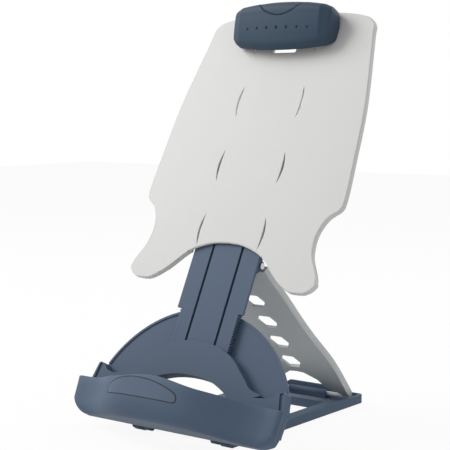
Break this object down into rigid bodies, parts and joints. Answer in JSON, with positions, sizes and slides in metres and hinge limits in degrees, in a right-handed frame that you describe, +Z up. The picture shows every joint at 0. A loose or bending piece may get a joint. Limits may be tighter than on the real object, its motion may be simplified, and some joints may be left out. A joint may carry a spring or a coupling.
{
  "type": "document holder",
  "caption": "Desk document holder with a lipped tray, a sliding notched board on a racked neck, a folding prop strut, a hinged base frame and a spring clip.",
  "frame": {"origin": "centre of the bounding box on the desk plane, under the foot pads", "axes": "+Z up, +Y towards the rear where the strut stands, +X to the right of a reader facing the board"},
  "size_m": [0.2491, 0.2849, 0.4218],
  "materials": {
    "board_grey": "fine satin texture",
    "slate": "satin",
    "strut_grey": "satin",
    "dark_grey": "matt",
    "rubber": "matt",
    "steel": "bright",
    "badge": "polished"
  },
  "bodies": {
    "base": {"base_frame": "slate", "foot_pads": "rubber"},
    "stand": {"hinge_pins": "steel", "back_plate": "slate", "crescent_cover": "slate", "tray": "slate", "badge_plate": "badge", "neck_plate": "slate", "rack_left": "slate", "rack_right": "slate", "strut_bracket": "dark_grey", "bracket_screws": "steel", "neck_screws": "steel", "cover_screws": "steel", "strut_pin": "steel"},
    "prop": {"strut": "strut_grey", "foot_rod": "strut_grey"},
    "slider": {"board": "board_grey", "guide_left": "dark_grey", "guide_right": "dark_grey", "guide_screws": "steel", "slot_posts": "dark_grey", "detent_springs": "steel", "clip_base": "slate", "clip_pin": "steel", "clip_spring": "steel"},
    "jaw": {"clip_cover": "slate", "clip_pad": "rubber"}
  },
  "joints": [
    {"name": "stand_tilt", "type": "hinge", "parent": "base", "child": "stand", "pos_m": [0, -0.08798, 0.00654], "axis": [1, 0, 0], "range_deg": [0, 25]},
    {"name": "prop_swing", "type": "hinge", "parent": "stand", "child": "prop", "pos_m": [0, -0.0072, 0.16067], "axis": [1, 0, 0], "range_deg": [0, 45]},
    {"name": "board_height", "type": "slide", "parent": "stand", "child": "slider", "axis": [0, 0.454, 0.891], "range_m": [-0.095, 0]},
    {"name": "clip_open", "type": "hinge", "parent": "slider", "child": "jaw", "pos_m": [0, 0.08453, 0.40237], "axis": [-1, 0, 0], "range_deg": [0, 15], "stiffness_Nm_per_rad": 0.6, "springref_deg": -20.05}
  ]
}
